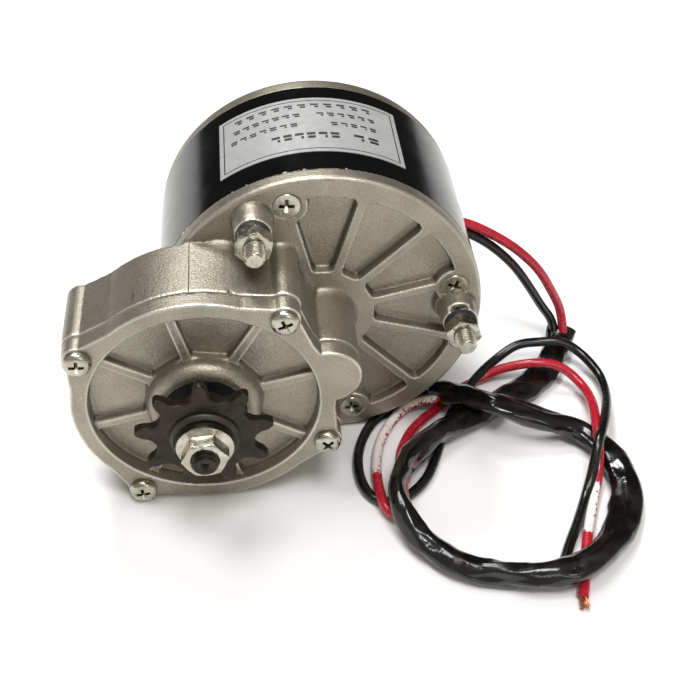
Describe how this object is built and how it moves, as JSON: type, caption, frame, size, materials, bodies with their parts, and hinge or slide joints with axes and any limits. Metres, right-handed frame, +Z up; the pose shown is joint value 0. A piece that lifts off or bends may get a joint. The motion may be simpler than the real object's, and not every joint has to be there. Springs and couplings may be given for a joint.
{
  "type": "geared electric motor",
  "caption": "Short round brushed DC motor with an offset reduction gear case, a toothed chain wheel on its output shaft, threaded mounting studs and loosely looped, sleeved leads.",
  "frame": {"origin": "where the motor axis meets the front face of the casting; the table lies 50.5 mm below it", "axes": "+Z up, -Y along both shafts towards the chain wheel, +X away from the gear case towards the leads"},
  "size_m": [0.1822, 0.1388, 0.1012],
  "materials": {
    "can_paint": "gloss black paint",
    "cast_aluminium": "silver paint on a grainy die casting",
    "gasket": "matte sealing paper",
    "nameplate": "printed silver-white foil",
    "ferrite": "ground ferrite",
    "steel": "machined",
    "core_steel": "stacked laminations",
    "copper": "bare and enamelled copper",
    "phenolic": "laminated board",
    "brass": "sheet brass",
    "carbon": "pressed carbon",
    "dark_steel": "dark oxide with an oily sheen",
    "rubber_black": "moulded rubber",
    "zinc": "zinc plating, slightly yellow",
    "sleeve_plastic": "glossy creased vinyl",
    "red_insulation": "glossy vinyl insulation",
    "black_insulation": "glossy vinyl insulation"
  },
  "bodies": {
    "housing": {"motor_can": "can_paint", "rear_cover": "cast_aluminium", "front_casting": "cast_aluminium", "gear_case_cover": "cast_aluminium", "cover_gasket": "gasket", "nameplate": "nameplate", "magnet_1": "ferrite", "magnet_2": "ferrite", "magnet_3": "ferrite", "magnet_4": "ferrite", "motor_front_bearing_outer": "steel", "motor_rear_bearing_outer": "steel", "output_front_bearing_outer": "steel", "output_rear_bearing_outer": "steel", "bearing_balls": "steel", "wave_washer": "steel", "brush_plate": "phenolic", "brush_holders": "brass", "brushes": "carbon", "brush_springs": "steel", "oil_seal": "rubber_black", "cover_screws": "zinc", "end_screws": "zinc", "mounting_studs": "zinc", "stud_washers": "dark_steel", "stud_nuts": "zinc", "cable_grommet": "rubber_black", "cable_sleeve": "sleeve_plastic", "red_lead": "red_insulation", "black_lead": "black_insulation", "red_lead_strands": "copper", "black_lead_strands": "copper"},
    "armature": {"armature_shaft": "steel", "armature_core": "core_steel", "armature_windings": "copper", "commutator": "copper", "motor_front_bearing_inner": "steel", "motor_rear_bearing_inner": "steel"},
    "output": {"output_front_bearing_inner": "steel", "output_rear_bearing_inner": "steel", "output_gear": "steel", "output_shaft": "dark_steel", "gear_key": "steel", "gear_circlip": "dark_steel", "sprocket": "dark_steel", "sprocket_washer": "dark_steel", "sprocket_nut": "zinc"}
  },
  "joints": [
    {"name": "armature_spin", "type": "hinge", "parent": "housing", "child": "armature", "pos_m": [0, 0, 0], "axis": [0, -1, 0], "continuous": true},
    {"name": "output_spin", "type": "hinge", "parent": "housing", "child": "output", "pos_m": [-0.03659, 0, -0.01062], "axis": [0, -1, 0], "continuous": true}
  ],
  "couplings": [
    {"joint": "output_spin", "follows": "armature_spin", "ratio": -0.10227}
  ]
}
